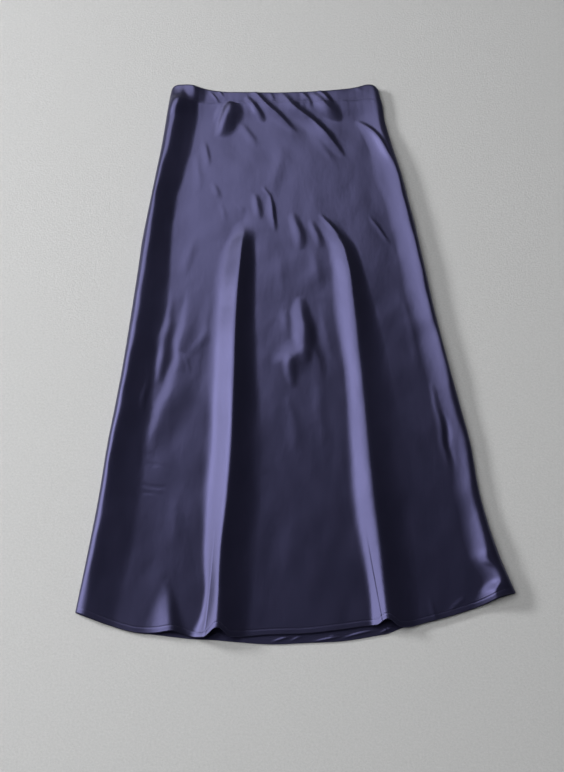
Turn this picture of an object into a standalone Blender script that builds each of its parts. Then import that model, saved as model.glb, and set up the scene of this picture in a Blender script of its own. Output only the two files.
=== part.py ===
"""Satin mermaid fishtail skirt, laid face up on a flat surface.

Six gores, an elastic waistband cut as a front and a back, and a turned hem on each side.
Metres, +Z up. The back lies flat at z = 0, +Y runs from the hem to the waist, and left and
right are those of someone who looks down on the skirt with its hem towards them.
The tables below are in millimetres.
"""
from collections import namedtuple
from math import pi

import bmesh
import bpy
import numpy as np

MM = 0.001

# Driving sizes, in millimetres
CLOTH = 1.2             # wall of one gore
HEM_CLOTH = 1.5         # pressed double cloth of the turned hem
BAND_CLOTH = 2.2        # casing folded over its elastic
SEAM_GAP = 0.3          # between neighbouring pieces
LAYER_GAP = 0.5         # between the front and the back where they touch
HEM_DEPTH = 10.0        # height of the turned hem
HEM_PROUD = 0.4         # the hem stands this much above the gores
BAND_PROUD = 0.8        # and the waistband this much
REST = 2 * CLOTH + LAYER_GAP    # top of the front where it lies on the back
BACK_SEAM_OUT = 5.0     # the back's gore seams lie this much further out
BACK_TURN = 4.5         # width over which the back turns up to its side seam
MIDDLE = np.array([-0.3, -3.15, 0.0])    # middle of the laid skirt's outline in the tables

ROLL_NOSE = 3.0         # how round the crest of a side roll is
ROLL_POWER = 1.6        # and how soon its inner slope flattens

# Flutes: a long slope on the left of the ridge, a steep drop on its right
Flute = namedtuple("Flute", "climb_foot drop_power hem_pull hem_pull_width")
FLUTE_LEFT = Flute(climb_foot=0.6, drop_power=1.7, hem_pull=12.5, hem_pull_width=19.0)
FLUTE_RIGHT = Flute(climb_foot=0.5, drop_power=1.7, hem_pull=8.5, hem_pull_width=17.0)

# One row for each section across the skirt, from the waist to below the hem
Section = namedtuple("Section", "y left seam_left ridge_left seam_right ridge_right right "
                                "flute_left flute_right roll_left roll_right puff edge")
SECTIONS = [
    Section(460, -198, -93, -80, 29, 48, 133, 0.0, 0.0, 4.0, 5.0, 3.0, 5.0),
    Section(442, -201, -93, -80, 30, 49, 138, 0.0, 0.0, 6.0, 5.0, 3.8, 5.0),
    Section(425, -204, -94, -80, 31, 50, 142, 0.0, 0.0, 11.5, 5.5, 4.0, 5.0),
    Section(390, -208, -95, -80, 35, 52, 146, 0.0, 0.0, 12.5, 6.0, 1.8, 5.0),
    Section(345, -213, -95, -79, 40, 53, 156, 0.0, 0.0, 12.0, 6.5, 2.4, 5.0),
    Section(290, -221, -95, -79, 45, 54, 170, 0.0, 0.0, 12.0, 7.0, 3.0, 5.0),
    Section(235, -229, -95, -78, 50, 54, 181, 0.0, 0.0, 12.0, 7.5, 3.0, 5.0),
    Section(195, -235, -96, -80, 52, 56, 190, 2.0, 1.0, 12.0, 7.5, 3.0, 5.0),
    Section(165, -239, -97, -82, 55, 72, 196, 8.0, 5.5, 12.0, 7.5, 3.0, 5.0),
    Section(130, -242, -97, -85, 58, 81, 202, 11.0, 9.0, 12.0, 7.5, 3.0, 5.0),
    Section(50, -250, -99, -90, 64, 90, 216, 14.0, 10.0, 12.0, 7.5, 2.6, 5.0),
    Section(-60, -262, -102, -92, 74, 99, 239, 15.0, 9.5, 12.0, 7.5, 2.6, 5.0),
    Section(-160, -276, -107, -94, 83, 106, 256, 15.0, 10.5, 12.0, 7.5, 2.6, 5.0),
    Section(-250, -286, -113, -99, 94, 111, 268, 15.0, 11.5, 11.0, 8.5, 2.6, 5.0),
    Section(-335, -298, -118, -107, 106, 120, 290, 14.0, 11.5, 9.0, 9.5, 2.2, 4.5),
    Section(-400, -308, -123, -109, 116, 126, 314, 14.0, 11.5, 6.0, 9.0, 1.6, 3.8),
    Section(-460, -317, -129, -111, 125, 131, 336, 16.0, 13.0, 4.0, 7.0, 1.4, 3.5),
]

# Soft roll along each side: width of its outer turn and of the slope inside its crest
Edge = namedtuple("Edge", "y turn_left fall_left turn_right fall_right")
EDGES = [
    Edge(460, 20.0, 38, 9.0, 30),
    Edge(430, 18.0, 40, 9.0, 30),
    Edge(400, 14.5, 47, 9.5, 30),
    Edge(345, 11.5, 49, 9.0, 31),
    Edge(285, 8.0, 48, 8.0, 32),
    Edge(235, 8.5, 45, 8.0, 32),
    Edge(175, 11.0, 45, 8.0, 32),
    Edge(60, 11.5, 47, 8.0, 33),
    Edge(-60, 10.0, 44, 8.0, 30),
    Edge(-159, 9.5, 48, 7.0, 26),
    Edge(-260, 10.0, 52, 10.5, 27),
    Edge(-340, 11.0, 52, 14.0, 30),
    Edge(-375, 12.5, 49, 19.0, 33),
    Edge(-409, 14.0, 46, 28.0, 30),
    Edge(-460, 14.0, 46, 34.0, 28),
]

# Width of each flute's slope on the left of its ridge, and of its drop on the right, and how
# round the ridges are
Slopes = namedtuple("Slopes", "y climb_left drop_left climb_right drop_right nose")
SLOPES = [
    Slopes(460, 24, 24, 28, 24, 4.0),
    Slopes(345, 24, 24, 26, 24, 4.0),
    Slopes(235, 24, 22, 24, 20, 4.0),
    Slopes(190, 26, 22, 22, 20, 4.0),
    Slopes(145, 32, 30, 29, 26, 4.0),
    Slopes(50, 37, 33, 36, 36, 4.0),
    Slopes(-60, 40, 36, 32, 46, 4.0),
    Slopes(-160, 40, 44, 34, 50, 4.0),
    Slopes(-250, 40, 48, 38, 50, 4.0),
    Slopes(-335, 30, 48, 33, 48, 4.0),
    Slopes(-400, 25, 46, 27, 46, 5.0),
    Slopes(-460, 38, 44, 33, 44, 8.0),
]

# The waistband's top edge and the seam under it, by distance across
WaistPoint = namedtuple("WaistPoint", "x top seam")
WAIST = [
    WaistPoint(-204, 446, 423),
    WaistPoint(-197, 452, 423),
    WaistPoint(-182, 454, 422),
    WaistPoint(-155, 450, 421),
    WaistPoint(-125, 444, 421),
    WaistPoint(-70, 442, 421),
    WaistPoint(-7, 442, 422),
    WaistPoint(36, 444, 423),
    WaistPoint(100, 451, 426),
    WaistPoint(124, 456, 427),
    WaistPoint(131, 454, 426),
    WaistPoint(142, 442, 425),
]

# The hem's edge on the front and the back, by distance across
HemPoint = namedtuple("HemPoint", "x front back")
HEM = [
    HemPoint(-311, -418, -418),
    HemPoint(-264, -435.5, -435),
    HemPoint(-224, -446.5, -446),
    HemPoint(-196, -447.5, -449),
    HemPoint(-172, -445.5, -452),
    HemPoint(-143, -453.5, -455),
    HemPoint(-120, -455, -456),
    HemPoint(-79, -453, -459.5),
    HemPoint(-45, -450, -462),
    HemPoint(20, -447.5, -460),
    HemPoint(66, -442, -457.5),
    HemPoint(110, -437, -450.5),
    HemPoint(130, -438.5, -446.5),
    HemPoint(147, -440.5, -439.5),
    HemPoint(184, -432, -431),
    HemPoint(230, -419, -418),
    HemPoint(266, -406.5, -406),
    HemPoint(288, -397, -396.5),
    HemPoint(311, -389.5, -389.5),
]

# Largest folds of the front, each from its upper end to its lower one: a ridge, or a trough
# where rise is negative, that reaches this far to the left and to the right
Fold = namedtuple("Fold", "x0 y0 x1 y1 rise left right")
FOLDS = [
    Fold(-26, 446, 80, 320, 3.4, 26, 15),       # long pull from the waist
    Fold(-71, 447, 6, 364, 2.6, 18, 13),        # shorter one beside it
    Fold(-101, 430, -120, 355, 5.4, 18, 30),    # hollow under the band lies right of this
    Fold(36, 428, 84, 380, 3.2, 15, 20),
    Fold(95, 394, 152, 318, 2.6, 18, 12),       # pull into the right side
    Fold(-159, 474, -158, 412, 3.4, 13, 28),    # lump at the left end of the band
    Fold(-41, 250, -31, 184, 1.9, 14, 9),       # short creases over the flutes
    Fold(-12, 222, 6, 156, 1.5, 12, 10),
    Fold(118, 214, 149, 163, 1.0, 11, 9),
    Fold(9, 72, 27, -54, 4.2, 23, 21),          # knee bump
    Fold(12, -8, -44, -61, 1.6, 18, 24),        # and the fold under it
    Fold(-190, 84, -207, -75, 1.8, 13, 16),     # ridges of the left gore
    Fold(-162, 92, -178, -56, 1.6, 15, 40),
    Fold(-172, -30, -217, -184, 2.0, 18, 42),
    Fold(208, -76, 226, -162, -1.7, 11, 11),    # slit in the right roll
    Fold(-176, -380, -171, -500, 5.6, 36, 24),  # ripple that leaves over the hem
]

# Named lines that run down the front from left to right, and the columns between them
FRONT_LINES = ["left_edge", "left_crest", "left_foot", "flute_left_foot", "seam_left",
               "ridge_left", "flute_left_tail", "flute_right_foot", "seam_right",
               "ridge_right", "flute_right_tail", "right_foot", "right_crest", "right_edge"]
FRONT_COLUMNS = [4, 6, 8, 4, 3, 6, 14, 4, 3, 6, 8, 5, 4]
BACK_LINES = ["left_edge", "left_turn", "seam_left", "seam_right", "right_turn", "right_edge"]
BACK_COLUMNS = [3, 5, 8, 5, 3]
FRONT_ROWS = 36
BACK_ROWS = 16
HEM_ROWS = 2
BAND_ROWS = 4
ROW_CROWDING = 1.25     # above 1, rows lie closer together at the waist
CROWD_BEFORE_RIDGE = 1.5    # above 1, columns lie closer together towards a flute's ridge
CROWD_AFTER_RIDGE = 1.7
FOLD_TAPER = 0.8        # below 1, a fold keeps its height for more of its length
SETTLING_ROUNDS = 6     # a point's x and y depend on each other, so they are found in rounds

NAVY = (0.030, 0.028, 0.085, 1.0)
BAND_NAVY = (0.034, 0.032, 0.092, 1.0)
HEM_NAVY = (0.027, 0.025, 0.078, 1.0)
SATIN_ROUGHNESS = 0.34
PROBE = 0.004           # step in columns and rows that finds the surface's slope


def smooth_table(rows, key, column):
    """A function that reads one column of a table as a smooth curve through its rows."""
    ordered = sorted(rows, key=lambda row: getattr(row, key))
    at = np.array([getattr(row, key) for row in ordered], float)
    value = np.array([getattr(row, column) for row in ordered], float)
    slope = np.gradient(value, at)

    def read(position):
        position = np.clip(position, at[0], at[-1])
        i = np.clip(np.searchsorted(at, position, side="right") - 1, 0, len(at) - 2)
        span = at[i + 1] - at[i]
        f = (position - at[i]) / span
        start = (1 + 2 * f) * (1 - f) ** 2 * value[i] + f * (1 - f) ** 2 * span * slope[i]
        end = f * f * (3 - 2 * f) * value[i + 1] - f * f * (1 - f) * span * slope[i + 1]
        return start + end

    return read


SECTION = {name: smooth_table(SECTIONS, "y", name) for name in Section._fields[1:]}
EDGE = {name: smooth_table(EDGES, "y", name) for name in Edge._fields[1:]}
SLOPE = {name: smooth_table(SLOPES, "y", name) for name in Slopes._fields[1:]}
WAIST_TOP = smooth_table(WAIST, "x", "top")
WAIST_SEAM = smooth_table(WAIST, "x", "seam")
FRONT_HEM = smooth_table(HEM, "x", "front")
BACK_HEM = smooth_table(HEM, "x", "back")


def bell(q):
    """1 at q = 0 and 0 from q = 1 on, with no corner at either."""
    return np.where(np.abs(q) < 1, (1 - q * q) ** 2, 0.0)


def slope_shape(offset, width, nose, power):
    """Share of a ridge's height that is left at a distance from it: a round nose, then a slope."""
    rounded = np.sqrt(offset * offset + nose * nose) - nose
    q = rounded / (np.sqrt(width * width + nose * nose) - nose)
    return np.clip(1 - q, 0.0, 1.0) ** power


def climb_shape(offset, width, nose, foot):
    """The same for a straight slope that sets in softly over this share of its width."""
    rest = slope_shape(offset, width, nose, 1.0)
    started = np.minimum(rest / foot, 1.0)
    height = foot * started ** 3 * (1 - started / 2) + np.maximum(rest - foot, 0.0)
    return height / (1 - foot / 2)


def flute_shape(offset, climb, drop, nose, flute):
    """Height of a flute as a share of its ridge's, by distance right of the ridge."""
    before = climb_shape(offset, climb, nose, flute.climb_foot)
    after = slope_shape(offset, drop, nose, flute.drop_power)
    return np.where(offset < 0, before, after)


def fold_height(x, y, fold):
    """Height that one fold adds."""
    length = float(np.hypot(fold.x1 - fold.x0, fold.y1 - fold.y0))
    run_x, run_y = (fold.x1 - fold.x0) / length, (fold.y1 - fold.y0) / length
    along = ((x - fold.x0) * run_x + (y - fold.y0) * run_y) / length
    rightward = (y - fold.y0) * run_x - (x - fold.x0) * run_y
    across = rightward / np.where(rightward > 0, fold.right, fold.left)
    return fold.rise * bell(across) * np.sin(pi * np.clip(along, 0.0, 1.0)) ** FOLD_TAPER


def front_height(x, y):
    """Top of the front gores inside their two crests."""
    from_left = x - SECTION["left"](y) - EDGE["turn_left"](y)
    from_right = SECTION["right"](y) - EDGE["turn_right"](y) - x
    height = REST + SECTION["puff"](y)
    height = height + SECTION["roll_left"](y) * slope_shape(
        from_left, EDGE["fall_left"](y), ROLL_NOSE, ROLL_POWER)
    height = height + SECTION["roll_right"](y) * slope_shape(
        from_right, EDGE["fall_right"](y), ROLL_NOSE, ROLL_POWER)
    height = height + SECTION["flute_left"](y) * flute_shape(
        x - SECTION["ridge_left"](y), SLOPE["climb_left"](y), SLOPE["drop_left"](y),
        SLOPE["nose"](y), FLUTE_LEFT)
    height = height + SECTION["flute_right"](y) * flute_shape(
        x - SECTION["ridge_right"](y), SLOPE["climb_right"](y), SLOPE["drop_right"](y),
        SLOPE["nose"](y), FLUTE_RIGHT)
    for fold in FOLDS:
        height = height + fold_height(x, y, fold)
    return height


def front_line_places(y):
    """Distance across of each of FRONT_LINES."""
    left_crest = SECTION["left"](y) + EDGE["turn_left"](y)
    right_crest = SECTION["right"](y) - EDGE["turn_right"](y)
    ridge_left, ridge_right = SECTION["ridge_left"](y), SECTION["ridge_right"](y)
    return np.stack([SECTION["left"](y), left_crest, left_crest + EDGE["fall_left"](y),
                     ridge_left - SLOPE["climb_left"](y), SECTION["seam_left"](y), ridge_left,
                     ridge_left + SLOPE["drop_left"](y), ridge_right - SLOPE["climb_right"](y),
                     SECTION["seam_right"](y), ridge_right, ridge_right + SLOPE["drop_right"](y),
                     right_crest - EDGE["fall_right"](y), right_crest, SECTION["right"](y)])


def back_line_places(y):
    """Distance across of each of BACK_LINES."""
    left, right = SECTION["left"](y), SECTION["right"](y)
    return np.stack([left, left + BACK_TURN, SECTION["seam_left"](y) - BACK_SEAM_OUT,
                     SECTION["seam_right"](y) + BACK_SEAM_OUT, right - BACK_TURN, right])


def front_edge(x, y):
    """The front hem's edge, which the ridges of the flutes draw up."""
    pull = 0.0
    for name, flute in (("ridge_left", FLUTE_LEFT), ("ridge_right", FLUTE_RIGHT)):
        pull = pull + flute.hem_pull * bell((x - SECTION[name](y)) / flute.hem_pull_width)
    return FRONT_HEM(x) + pull


def back_edge(x, y):
    """The back hem's edge."""
    return BACK_HEM(x)


def waist_top(x, y):
    """The waistband's top edge."""
    return WAIST_TOP(x)


def waist_seam(x, y):
    """The seam between the waistband and the gores."""
    return WAIST_SEAM(x)


def moved(line, distance):
    """The same line, moved towards the waist."""
    return lambda x, y: line(x, y) + distance


def place(u, f, places, upper, lower):
    """Where columns u cross rows f, as x, y and the angle round the side's turn, or nan."""
    y = np.zeros_like(u)
    for _ in range(SETTLING_ROUNDS):
        stops = places(y)
        last = len(stops) - 1
        i = np.clip(u.astype(int), 0, last - 1)
        start = np.take_along_axis(stops, i[None], 0)[0]
        stop = np.take_along_axis(stops, i[None] + 1, 0)[0]
        turn = np.where(u < 1, u * pi / 2, np.where(u > last - 1, (last - u) * pi / 2, np.nan))
        x = start + (stop - start) * (u - i)
        x = np.where(u < 1, start + (stop - start) * (1 - np.cos(turn)), x)
        x = np.where(u > last - 1, stop - (stop - start) * (1 - np.cos(turn)), x)
        y = upper(x, y) + (lower(x, y) - upper(x, y)) * f
    return x, y, turn


def front_points(u, f, upper, lower, wall, proud):
    """Points of the front's outer side, never so low that they would enter the back."""
    x, y, turn = place(u, f, front_line_places, upper, lower)
    lowest = 2 * wall + LAYER_GAP
    stops = front_line_places(y)
    crest_x = np.where(u < 1, stops[1], stops[-2])
    flat = np.isnan(turn)
    height = np.maximum(front_height(np.where(flat, x, crest_x), y) + proud, lowest)
    side = SECTION["edge"](y) + SEAM_GAP / 2
    height = np.where(flat, height, side + (height - side) * np.sin(turn))
    return np.stack([x, y, height], axis=-1)


def back_points(u, f, upper, lower):
    """Points of the back's underside, which is flat up to the turns at its sides."""
    x, y, turn = place(u, f, back_line_places, upper, lower)
    side = SECTION["edge"](y) - SEAM_GAP / 2
    height = np.where(np.isnan(turn), 0.0, side * (1 - np.sin(turn)))
    return np.stack([x, y, height], axis=-1)


def unit(vectors):
    """The same directions with length 1."""
    return vectors / np.linalg.norm(vectors, axis=-1, keepdims=True)


def column_places(first, last, lines, counts):
    """Columns between two named lines, crowded towards the ridges of the flutes."""
    start, stop = lines.index(first), lines.index(last)
    columns = [float(start)]
    for i in range(start, stop):
        for k in range(1, counts[i] + 1):
            q = k / counts[i]
            if lines[i].startswith("ridge"):
                q = q ** CROWD_AFTER_RIDGE
            elif lines[i + 1].startswith("ridge"):
                q = 1 - (1 - q) ** CROWD_BEFORE_RIDGE
            columns.append(i + q)
    return columns


def row_places(count, crowding=1.0):
    """Rows from the upper edge, 0, to the lower one, 1."""
    return [(i / count) ** crowding for i in range(count + 1)]


def cloth_object(name, points_at, columns, rows, u_end, wall, facing, colour):
    """A closed wall of cloth: the outer side, the same points moved in, and a rim."""
    u, f = np.meshgrid(np.array(columns), np.array(rows))
    outer = points_at(u, f)
    ahead, behind = np.minimum(u + PROBE, u_end), np.maximum(u - PROBE, 0.0)
    below, above = np.minimum(f + PROBE, 1.0), np.maximum(f - PROBE, 0.0)
    across = unit(points_at(ahead, f) - points_at(behind, f))
    down = unit(points_at(u, below) - points_at(u, above))
    inward = unit(np.cross(across, down)) * facing
    inward[[0, -1], :, 1] = 0.0     # the upper and lower rims stay square to the seams
    inward = unit(inward)
    if columns[0] > 0:
        outer[:, 0] += across[:, 0] * SEAM_GAP / 2
    if columns[-1] < u_end:
        outer[:, -1] -= across[:, -1] * SEAM_GAP / 2
    inner = outer + inward * wall

    mesh = bpy.data.meshes.new(name)
    form = bmesh.new()
    sides = [[form.verts.new((spot - MIDDLE) * MM) for spot in side.reshape(-1, 3)]
             for side in (outer, inner)]
    wide, deep = len(columns), len(rows)
    for r in range(deep - 1):
        for c in range(wide - 1):
            ring = [r * wide + c, r * wide + c + 1, (r + 1) * wide + c + 1, (r + 1) * wide + c]
            form.faces.new([sides[0][i] for i in ring])
            form.faces.new([sides[1][i] for i in reversed(ring)])
    border = list(range(wide))
    border += [r * wide + wide - 1 for r in range(1, deep)]
    border += [(deep - 1) * wide + c for c in range(wide - 2, -1, -1)]
    border += [r * wide for r in range(deep - 2, 0, -1)]
    for i, j in zip(border, border[1:] + border[:1]):
        form.faces.new([sides[0][j], sides[0][i], sides[1][i], sides[1][j]])
    bmesh.ops.recalc_face_normals(form, faces=form.faces)
    form.to_mesh(mesh)
    form.free()

    material = bpy.data.materials.new(name + "_satin")
    material.use_nodes = True
    shader = material.node_tree.nodes["Principled BSDF"]
    shader.inputs["Base Color"].default_value = colour
    shader.inputs["Roughness"].default_value = SATIN_ROUGHNESS
    shader.inputs["Metallic"].default_value = 0.0
    mesh.materials.append(material)
    mesh.shade_smooth()
    body = bpy.data.objects.new(name, mesh)
    bpy.context.collection.objects.link(body)
    return body


def front_piece(name, first, last, upper, lower, rows, wall, proud, colour):
    """A piece of the front between two named lines."""
    columns = column_places(first, last, FRONT_LINES, FRONT_COLUMNS)

    def points_at(u, f):
        return front_points(u, f, upper, lower, wall, proud)

    u_end = float(len(FRONT_LINES) - 1)
    return cloth_object(name, points_at, columns, rows, u_end, wall, 1, colour)


def back_piece(name, first, last, upper, lower, rows, wall, colour):
    """A piece of the back between two named lines."""
    columns = column_places(first, last, BACK_LINES, BACK_COLUMNS)

    def points_at(u, f):
        return back_points(u, f, upper, lower)

    u_end = float(len(BACK_LINES) - 1)
    return cloth_object(name, points_at, columns, rows, u_end, wall, -1, colour)


def build_gores():
    """Three front gores and three back gores."""
    upper = moved(waist_seam, -SEAM_GAP / 2)
    front_lower = moved(front_edge, HEM_DEPTH + SEAM_GAP / 2)
    back_lower = moved(back_edge, HEM_DEPTH + SEAM_GAP / 2)
    rows = row_places(FRONT_ROWS, ROW_CROWDING)
    for name, first, last in (("front_side_left", "left_edge", "seam_left"),
                              ("front_centre", "seam_left", "seam_right"),
                              ("front_side_right", "seam_right", "right_edge")):
        front_piece(name, first, last, upper, front_lower, rows, CLOTH, 0.0, NAVY)
    rows = row_places(BACK_ROWS)
    for name, first, last in (("back_side_left", "left_edge", "seam_left"),
                              ("back_centre", "seam_left", "seam_right"),
                              ("back_side_right", "seam_right", "right_edge")):
        back_piece(name, first, last, upper, back_lower, rows, CLOTH, NAVY)


def build_hems():
    """The turned hem of the front and of the back."""
    rows = row_places(HEM_ROWS)
    front_piece("hem_front", "left_edge", "right_edge", moved(front_edge, HEM_DEPTH - SEAM_GAP / 2),
                front_edge, rows, HEM_CLOTH, HEM_PROUD, HEM_NAVY)
    back_piece("hem_back", "left_edge", "right_edge", moved(back_edge, HEM_DEPTH - SEAM_GAP / 2),
               back_edge, rows, HEM_CLOTH, HEM_NAVY)


def build_waistband():
    """The front and the back of the elastic waistband."""
    lower = moved(waist_seam, SEAM_GAP / 2)
    rows = row_places(BAND_ROWS)
    front_piece("waistband_front", "left_edge", "right_edge", waist_top, lower, rows,
                BAND_CLOTH, BAND_PROUD, BAND_NAVY)
    back_piece("waistband_back", "left_edge", "right_edge", waist_top, lower, rows,
               BAND_CLOTH, BAND_NAVY)


for old in list(bpy.data.objects):
    bpy.data.objects.remove(old, do_unlink=True)
build_gores()
build_hems()
build_waistband()
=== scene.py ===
"""Looks of the satin mermaid fishtail skirt, laid face up on a pale floor.

The tables are in millimetres: +Y runs from the hem to the waist, and left and right are those
of someone who looks down on the skirt with its hem towards them. The sections, edges, hems and
waist are the solids' own, to within a few millimetres; the creases, puckers, stitches and finish
are added here.
"""
from collections import namedtuple
from math import cos, log, pi, radians, sin

import bpy
import numpy as np
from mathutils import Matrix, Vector


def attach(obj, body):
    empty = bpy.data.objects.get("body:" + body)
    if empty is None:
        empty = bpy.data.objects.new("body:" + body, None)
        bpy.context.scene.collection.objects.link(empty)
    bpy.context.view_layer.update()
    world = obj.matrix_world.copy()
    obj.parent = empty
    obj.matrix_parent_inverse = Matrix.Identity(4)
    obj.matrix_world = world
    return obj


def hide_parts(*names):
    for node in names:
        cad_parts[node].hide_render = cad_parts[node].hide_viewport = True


MM = 0.001

# Driving sizes, in millimetres
CLOTH = 1.2             # wall of one gore
HEM_CLOTH = 1.5         # pressed double cloth of the turned hem
BAND_CLOTH = 2.2        # casing folded over its elastic
SEAM_GAP = 0.3          # between neighbouring pieces
LAYER_GAP = 0.5         # between the front and the back where they touch
HEM_DEPTH = 10.0        # height of the turned hem
HEM_PROUD = 0.4         # the hem stands this much above the gores
BAND_PROUD = 0.8        # and the waistband this much
REST = 2 * CLOTH + LAYER_GAP    # top of the front where it lies on the back
BACK_SEAM_OUT = 5.0     # the back's gore seams lie this much further out
BACK_TURN = 4.5         # width over which the back turns up to its side seam
MIDDLE = np.array([-0.3, -3.15, 0.0])    # middle of the laid skirt's outline in the tables

ROLL_NOSE = 3.0         # how round the crest of a side roll is
ROLL_POWER = 1.6        # and how soon the right one's inner slope flattens
ROLL_STEEP = 0.6        # share of the left one that falls steadily, and how soon it ends
ROLL_STEEP_FOOT = 0.10
ROLL_TAIL_WIDTH = 1.6   # the rest of it reaches this many times as far
CREST_SWAY = 0.9        # the rolls' crests sway this much to either side
CREST_SWAY_LENGTH = 150.0
CREST_SWAY_SLOW = 0.6   # share of it in that long wave; the rest sways this many times as fast
CREST_SWAY_QUICK = 2.7
CREST_PHASE_LEFT = 0.5
CREST_PHASE_RIGHT = 2.0

# Flutes: a long slope on the left of the ridge, a steep drop on its right, and how far and how
# widely the ridge draws up the hem
Flute = namedtuple("Flute", "climb_foot drop_power hem_pull hem_pull_width")
FLUTES = {
    "left": Flute(climb_foot=0.6, drop_power=1.7, hem_pull=12.5, hem_pull_width=19.0),
    "right": Flute(climb_foot=0.5, drop_power=1.7, hem_pull=8.5, hem_pull_width=17.0),
}

# One row for each section across the skirt, from the waist to below the hem: where its edges,
# seams and ridges lie, how far the flutes and the side rolls stand up, how far all of it puffs
# up, and the height of the side seams
Section = namedtuple("Section", "y left seam_left ridge_left seam_right ridge_right right "
                                "flute_left flute_right roll_left roll_right puff edge")
SECTIONS = [
    Section(460, -198, -93, -80, 29, 48, 133, 0.0, 0.0, 4.0, 2.2, 3.0, 5.0),
    Section(444, -201, -93, -80, 30, 49, 138, 0.0, 0.0, 4.5, 2.2, 3.8, 5.0),
    Section(433, -203, -94, -80, 31, 50, 140, 0.0, 0.0, 7.5, 2.4, 4.0, 5.0),
    Section(425, -204, -94, -80, 31, 50, 142, 0.0, 0.0, 11.5, 2.6, 4.0, 5.0),
    Section(390, -208, -95, -80, 35, 52, 146, 0.0, 0.0, 12.5, 4.0, 1.8, 5.0),
    Section(345, -213, -95, -79, 40, 53, 156, 0.0, 0.0, 12.0, 6.0, 2.4, 5.0),
    Section(290, -221, -95, -79, 45, 54, 170, 0.0, 0.0, 12.0, 7.0, 3.0, 5.0),
    Section(235, -229, -95, -78, 50, 54, 181, 0.0, 0.0, 12.0, 7.5, 3.0, 5.0),
    Section(195, -235, -96, -80, 52, 56, 189, 0.2, 1.0, 12.0, 7.5, 3.0, 5.0),
    Section(180, -237, -96, -80, 53, 63, 191.5, 3.2, 3.0, 12.0, 7.5, 3.0, 5.0),
    Section(165, -239, -97, -82, 55, 72, 194, 7.4, 5.5, 12.0, 7.5, 3.0, 5.0),
    Section(130, -242, -97, -85, 58, 81, 200, 12.2, 8.6, 12.0, 7.5, 3.0, 5.0),
    Section(50, -250, -99, -90, 64, 90, 213, 14.2, 9.2, 12.0, 7.5, 2.6, 5.0),
    Section(-60, -262, -102, -92, 74, 99, 235, 15.0, 8.4, 12.0, 7.2, 2.6, 5.0),
    Section(-112, -269, -104, -93, 78, 103, 246, 15.0, 8.8, 12.0, 6.4, 2.6, 5.0),
    Section(-160, -276, -107, -94, 83, 106, 256, 15.0, 9.4, 12.0, 5.4, 2.6, 5.0),
    Section(-250, -286, -113, -99, 94, 112.5, 268, 15.0, 10.8, 11.0, 5.8, 2.6, 5.0),
    Section(-335, -298, -118, -107, 106, 121, 290, 14.0, 11.5, 9.0, 9.0, 2.2, 4.5),
    Section(-400, -308, -123, -109, 116, 126, 314, 14.0, 11.5, 6.0, 9.0, 1.6, 3.8),
    Section(-460, -317, -129, -111, 125, 131, 336, 16.0, 13.0, 4.0, 7.0, 1.4, 3.5),
]

# Soft roll along each side: width of its outer turn and of the slope inside its crest
Edge = namedtuple("Edge", "y turn_left fall_left turn_right fall_right")
EDGES = [
    Edge(460, 18.0, 30, 9.0, 46),
    Edge(442, 17.5, 30, 9.0, 46),
    Edge(426, 17.0, 32, 9.0, 46),
    Edge(400, 14.5, 37, 9.5, 40),
    Edge(345, 11.5, 38, 9.0, 31),
    Edge(285, 8.0, 38, 8.0, 31),
    Edge(235, 8.5, 34, 8.0, 30),
    Edge(175, 11.0, 35, 7.5, 30),
    Edge(60, 11.5, 43, 6.5, 32),
    Edge(-60, 10.0, 42, 6.0, 33),
    Edge(-112, 9.5, 45, 9.5, 29),
    Edge(-159, 9.0, 48, 7.5, 26),
    Edge(-260, 10.0, 52, 10.5, 27),
    Edge(-325, 11.0, 52, 15.0, 29),
    Edge(-344, 11.0, 52, 19.0, 26),
    Edge(-358, 11.5, 51, 12.0, 29),
    Edge(-373, 12.5, 49, 13.5, 26),
    Edge(-388, 13.0, 48, 27.0, 25),
    Edge(-409, 14.0, 46, 28.0, 42),
    Edge(-460, 14.0, 46, 34.0, 44),
]

# Width of each flute's climb on the left of its ridge, and of its drop on the right, and how
# round the ridges are
Slopes = namedtuple("Slopes", "y climb_left drop_left climb_right drop_right nose")
SLOPES = [
    Slopes(460, 24, 24, 28, 24, 4.0),
    Slopes(345, 24, 24, 26, 24, 4.0),
    Slopes(235, 24, 22, 24, 20, 4.0),
    Slopes(190, 22, 20, 22, 20, 4.0),
    Slopes(165, 29, 21, 26, 21, 4.0),
    Slopes(150, 34, 23, 28, 22, 4.0),
    Slopes(110, 38, 26, 31, 25, 4.0),
    Slopes(50, 40, 30, 35, 33, 4.0),
    Slopes(-60, 41, 36, 29, 46, 4.0),
    Slopes(-160, 40, 44, 34, 50, 4.0),
    Slopes(-250, 40, 48, 38, 50, 4.0),
    Slopes(-335, 30, 48, 33, 48, 4.0),
    Slopes(-400, 25, 46, 27, 46, 5.0),
    Slopes(-425, 30, 46, 28, 46, 6.0),
    Slopes(-460, 48, 44, 33, 44, 8.0),
]

# The waistband's top edge and the seam under it, by distance across
WaistPoint = namedtuple("WaistPoint", "x top seam")
WAIST = [
    WaistPoint(-204, 446, 423),
    WaistPoint(-197, 452, 423),
    WaistPoint(-182, 454, 422),
    WaistPoint(-155, 450, 421),
    WaistPoint(-125, 444, 421),
    WaistPoint(-70, 442, 421),
    WaistPoint(-7, 442, 422),
    WaistPoint(36, 444, 423),
    WaistPoint(100, 451, 426),
    WaistPoint(124, 456, 427),
    WaistPoint(131, 454, 426),
    WaistPoint(142, 442, 425),
]

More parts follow.
